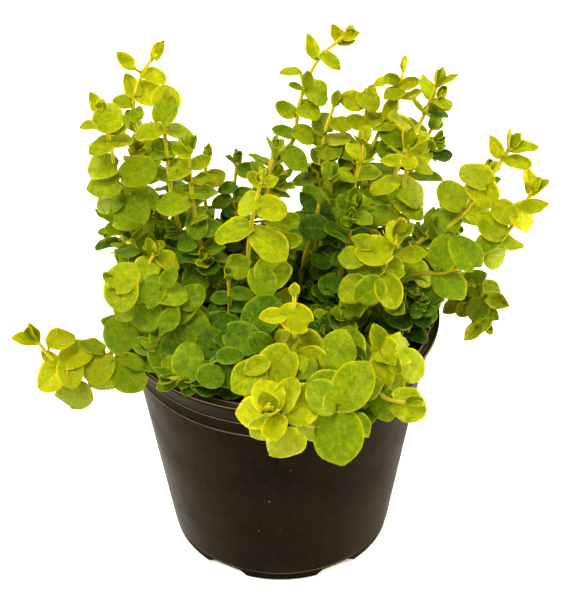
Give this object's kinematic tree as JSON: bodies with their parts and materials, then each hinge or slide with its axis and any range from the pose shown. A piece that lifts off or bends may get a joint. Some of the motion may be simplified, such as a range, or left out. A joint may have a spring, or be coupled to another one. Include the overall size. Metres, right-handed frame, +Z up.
{
  "type": "potted creeping jenny",
  "caption": "Bushy golden creeping jenny, upright and trailing shoots of small round paired leaves, rooted in potting mix in a round tapered plastic nursery pot.",
  "frame": {"origin": "centre of the pot's flat base, on the surface that the pot stands on", "axes": "+Z up along the pot's axis; -Y is the front, the side seen in the picture; +X is to the right seen from the front"},
  "size_m": [0.2058, 0.2031, 0.2092],
  "materials": {
    "pot_plastic": "satin",
    "potting_mix": "matte",
    "bark": "matte",
    "lime_foliage": "satin",
    "green_foliage": "satin"
  },
  "bodies": {
    "root": {"nursery_pot": "pot_plastic", "potting_mix": "potting_mix", "bark_chip": "bark", "shoot_back_centre": "lime_foliage", "shoot_back_left_small": "lime_foliage", "shoot_back_left_spread": "lime_foliage", "shoot_back_right_mid": "lime_foliage", "shoot_back_right_outer": "lime_foliage", "shoot_back_right_spread": "lime_foliage", "shoot_back_right_tall": "lime_foliage", "shoot_back_tallest": "lime_foliage", "shoot_back_trailer": "lime_foliage", "shoot_back_upright": "lime_foliage", "shoot_centre_back_rosette": "lime_foliage", "shoot_centre_dark": "lime_foliage", "shoot_centre_front_tall": "lime_foliage", "shoot_centre_right_rosette": "lime_foliage", "shoot_centre_right_small": "lime_foliage", "shoot_centre_rosette": "lime_foliage", "shoot_front_left_low": "lime_foliage", "shoot_front_left_rim": "lime_foliage", "shoot_front_left_round": "lime_foliage", "shoot_front_left_spread": "lime_foliage", "shoot_front_low": "lime_foliage", "shoot_front_right_rosette": "lime_foliage", "shoot_front_right_runner": "lime_foliage", "shoot_front_trailer": "lime_foliage", "shoot_front_upright": "lime_foliage", "shoot_left_back_slim": "lime_foliage", "shoot_left_back_tall": "lime_foliage", "shoot_left_back_trailer": "lime_foliage", "shoot_left_front_runner": "lime_foliage", "shoot_left_front_small": "lime_foliage", "shoot_left_inner": "lime_foliage", "shoot_left_mid_tall": "lime_foliage", "shoot_left_outer": "lime_foliage", "shoot_left_rosette": "lime_foliage", "shoot_left_trailer": "lime_foliage", "shoot_right_back_spread": "lime_foliage", "shoot_right_far": "lime_foliage", "shoot_right_inner": "lime_foliage", "shoot_right_long": "lime_foliage", "shoot_right_trailer": "lime_foliage", "shoot_right_upright": "lime_foliage", "shoot_low_01": "green_foliage", "shoot_low_02": "green_foliage", "shoot_low_03": "green_foliage", "shoot_low_04": "green_foliage", "shoot_low_05": "green_foliage", "shoot_low_08": "green_foliage", "shoot_low_12": "green_foliage", "shoot_low_13": "green_foliage", "shoot_low_15": "green_foliage"}
  },
  "joints": []
}
